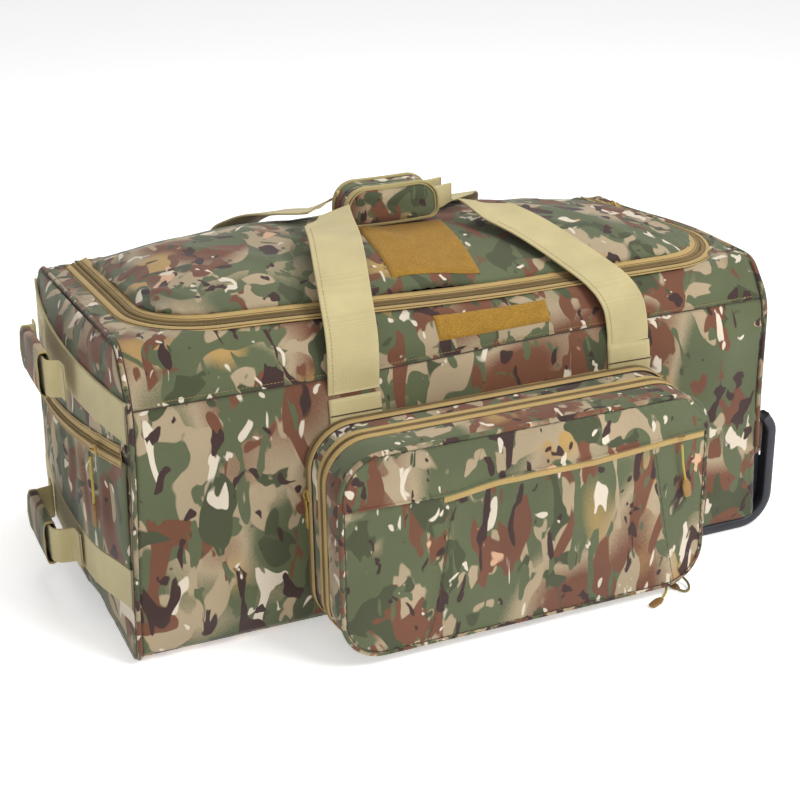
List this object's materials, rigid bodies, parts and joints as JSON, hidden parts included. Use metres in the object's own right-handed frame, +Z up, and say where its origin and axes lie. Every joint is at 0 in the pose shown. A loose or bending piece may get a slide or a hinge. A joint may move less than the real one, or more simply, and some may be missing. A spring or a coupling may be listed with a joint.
{
  "type": "rolling duffel bag",
  "caption": "Soft rolling duffel bag with an arched zip lid, front box pocket, twin carry straps, webbing end grips, moulded wheel base and telescoping pull handle.",
  "frame": {"origin": "on the floor under the middle of the bag, on the resting face of the base", "axes": "+X along the bag towards the wheel end, -Y towards the front pocket, +Z up, as the bag lies on its base"},
  "size_m": [0.884, 0.5748, 0.441],
  "materials": {
    "camo_canvas": "camouflage printed canvas",
    "wrap_canvas": "camouflage printed padded wrap",
    "camo_piping": "fabric-covered piping",
    "khaki_webbing": "woven webbing",
    "zip_tape": "woven zipper tape with a coil",
    "loop_patch": "brushed loop fabric",
    "dark_moulding": "satin moulded",
    "board": "ribbed sheet",
    "button_plastic": "semi gloss",
    "hub_plastic": "moulded",
    "tyre_rubber": "matte",
    "steel": "zinc plated",
    "tube_aluminium": "anodised",
    "slider_metal": "khaki enamel",
    "pull_cord": "braided cord",
    "pull_tan": "moulded tab"
  },
  "bodies": {
    "bag": {"base_panel": "camo_canvas", "front_panel": "camo_canvas", "back_panel": "camo_canvas", "top_band": "camo_canvas", "left_end_panel": "camo_canvas", "right_end_panel": "camo_canvas", "end_piping": "camo_piping", "base_wear_panel": "dark_moulding", "base_board": "board", "deck_zip_tape": "zip_tape", "name_strip": "loop_patch", "end_bands": "khaki_webbing", "grab_handles": "khaki_webbing", "grab_wraps": "wrap_canvas", "end_pocket": "camo_canvas", "end_zip": "zip_tape", "front_strap_ends": "khaki_webbing", "back_strap_ends": "khaki_webbing", "pocket_base": "camo_canvas", "pocket_rear_zip": "zip_tape", "pocket_zip_fixed": "zip_tape", "wheel_base": "dark_moulding", "base_screws": "steel", "wheel_axles": "steel", "corner_rails": "dark_moulding", "housing_cover": "dark_moulding", "outer_tubes": "tube_aluminium", "handle_cup": "dark_moulding"},
    "lid": {"lid_panel": "camo_canvas", "lid_zip_tape": "zip_tape", "lid_patch": "loop_patch"},
    "front_carry_strap": {"front_strap": "khaki_webbing", "front_grip_wrap": "wrap_canvas"},
    "back_carry_strap": {"back_strap": "khaki_webbing", "back_grip_wrap": "wrap_canvas"},
    "pocket_front": {"pocket_cover": "camo_canvas", "pocket_zip_cover": "zip_tape", "pocket_piping": "camo_piping", "face_zip": "zip_tape"},
    "face_zip_slider": {"face_slider": "slider_metal", "face_pull_cord": "pull_cord", "face_pull_tab": "pull_tan"},
    "end_zip_slider": {"end_slider": "slider_metal", "end_pull_cord": "pull_cord", "end_pull_tab": "pull_tan"},
    "gusset_zip_slider": {"gusset_slider": "slider_metal"},
    "lower_zip_sliders": {"lower_sliders": "slider_metal", "lower_pull_cord_a": "pull_cord", "lower_pull_cord_b": "pull_cord", "lower_pull_tab_a": "pull_tan", "lower_pull_tab_b": "pull_tan"},
    "lid_zip_slider": {"lid_slider": "slider_metal"},
    "handle_stage_1": {"middle_tubes": "tube_aluminium"},
    "handle_stage_2": {"inner_tubes": "tube_aluminium", "handle_grip": "dark_moulding"},
    "release": {"release_button": "button_plastic"},
    "wheel_front": {"wheel_hub_front": "hub_plastic", "wheel_tyre_front": "tyre_rubber"},
    "wheel_back": {"wheel_hub_back": "hub_plastic", "wheel_tyre_back": "tyre_rubber"}
  },
  "joints": [
    {"name": "lid_open", "type": "hinge", "parent": "bag", "child": "lid", "pos_m": [0, 0.17, 0.346], "axis": [-1, 0, 0], "range_deg": [0, 68]},
    {"name": "front_strap_swing", "type": "hinge", "parent": "bag", "child": "front_carry_strap", "pos_m": [0, -0.223, 0.28], "axis": [1, 0, 0], "range_deg": [0, 120]},
    {"name": "back_strap_swing", "type": "hinge", "parent": "bag", "child": "back_carry_strap", "pos_m": [0, 0.223, 0.28], "axis": [-1, 0, 0], "range_deg": [0, 82]},
    {"name": "pocket_open", "type": "hinge", "parent": "bag", "child": "pocket_front", "pos_m": [0, -0.324, 0.018], "axis": [1, 0, 0], "range_deg": [0, 85]},
    {"name": "face_zip_slide", "type": "slide", "parent": "pocket_front", "child": "face_zip_slider", "axis": [-1, 0, 0], "range_m": [0, 0.33]},
    {"name": "end_zip_slide", "type": "hinge", "parent": "bag", "child": "end_zip_slider", "pos_m": [0.689, 0, 0.2163], "axis": [0, -0.1386, -0.9903], "range_deg": [0, 15.5]},
    {"name": "gusset_zip_slide", "type": "slide", "parent": "bag", "child": "gusset_zip_slider", "axis": [0, 0, 1], "range_m": [-0.1, 0.025]},
    {"name": "lower_zip_slide", "type": "slide", "parent": "bag", "child": "lower_zip_sliders", "axis": [-1, 0, 0], "range_m": [0, 0.12]},
    {"name": "lid_zip_slide", "type": "slide", "parent": "bag", "child": "lid_zip_slider", "axis": [0, -1, 0], "range_m": [0, 0.12]},
    {"name": "handle_stage_1_slide", "type": "slide", "parent": "bag", "child": "handle_stage_1", "axis": [-1, 0, 0], "range_m": [0, 0.33]},
    {"name": "handle_stage_2_slide", "type": "slide", "parent": "handle_stage_1", "child": "handle_stage_2", "axis": [-1, 0, 0], "range_m": [0, 0.33]},
    {"name": "release_press", "type": "slide", "parent": "handle_stage_2", "child": "release", "axis": [1, 0, 0], "range_m": [0, 0.003], "stiffness_N_per_m": 400},
    {"name": "wheel_front_spin", "type": "hinge", "parent": "bag", "child": "wheel_front", "pos_m": [0.381, -0.185, 0.0435], "axis": [0, 1, 0], "continuous": true},
    {"name": "wheel_back_spin", "type": "hinge", "parent": "bag", "child": "wheel_back", "pos_m": [0.381, 0.185, 0.0435], "axis": [0, 1, 0], "continuous": true}
  ],
  "couplings": [
    {"joint": "front_strap_swing", "follows": "lid_open", "ratio": 1.75},
    {"joint": "back_strap_swing", "follows": "lid_open", "ratio": 1.2}
  ]
}
